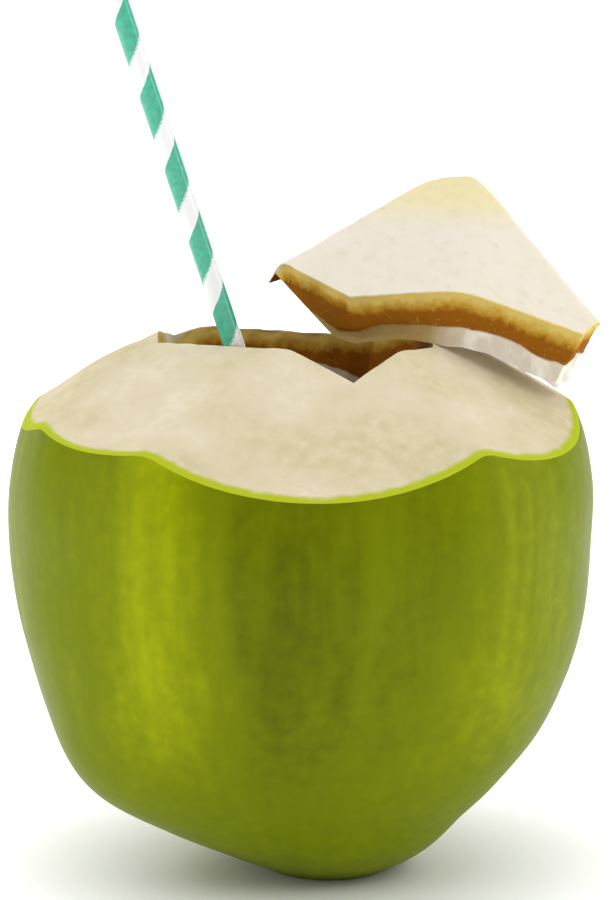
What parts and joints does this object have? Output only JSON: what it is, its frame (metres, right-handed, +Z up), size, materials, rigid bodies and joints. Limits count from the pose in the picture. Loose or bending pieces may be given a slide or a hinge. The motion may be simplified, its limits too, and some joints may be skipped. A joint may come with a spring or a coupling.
{
  "type": "green coconut",
  "caption": "Fresh green coconut trimmed and opened for drinking, with its cut lid resting on the rim and a striped paper straw standing in it.",
  "frame": {"origin": "centre of the small flat spot that the nut stands on", "axes": "+Z up out of the flat spot, -Y towards the front and +X to the right as seen from the front"},
  "size_m": [0.172, 0.1715, 0.2629],
  "materials": {
    "nut": "waxy green skin with a lime edge, a cream knife-cut husk, tan and brown rim walls and white flesh inside",
    "husk": "cream knife-cut husk on top, orange to dark brown cut walls and ragged white flesh beneath",
    "paper": "white waxed paper with a teal spiral stripe"
  },
  "bodies": {
    "root": {"coconut": "nut", "lid": "husk", "straw": "paper"}
  },
  "joints": []
}
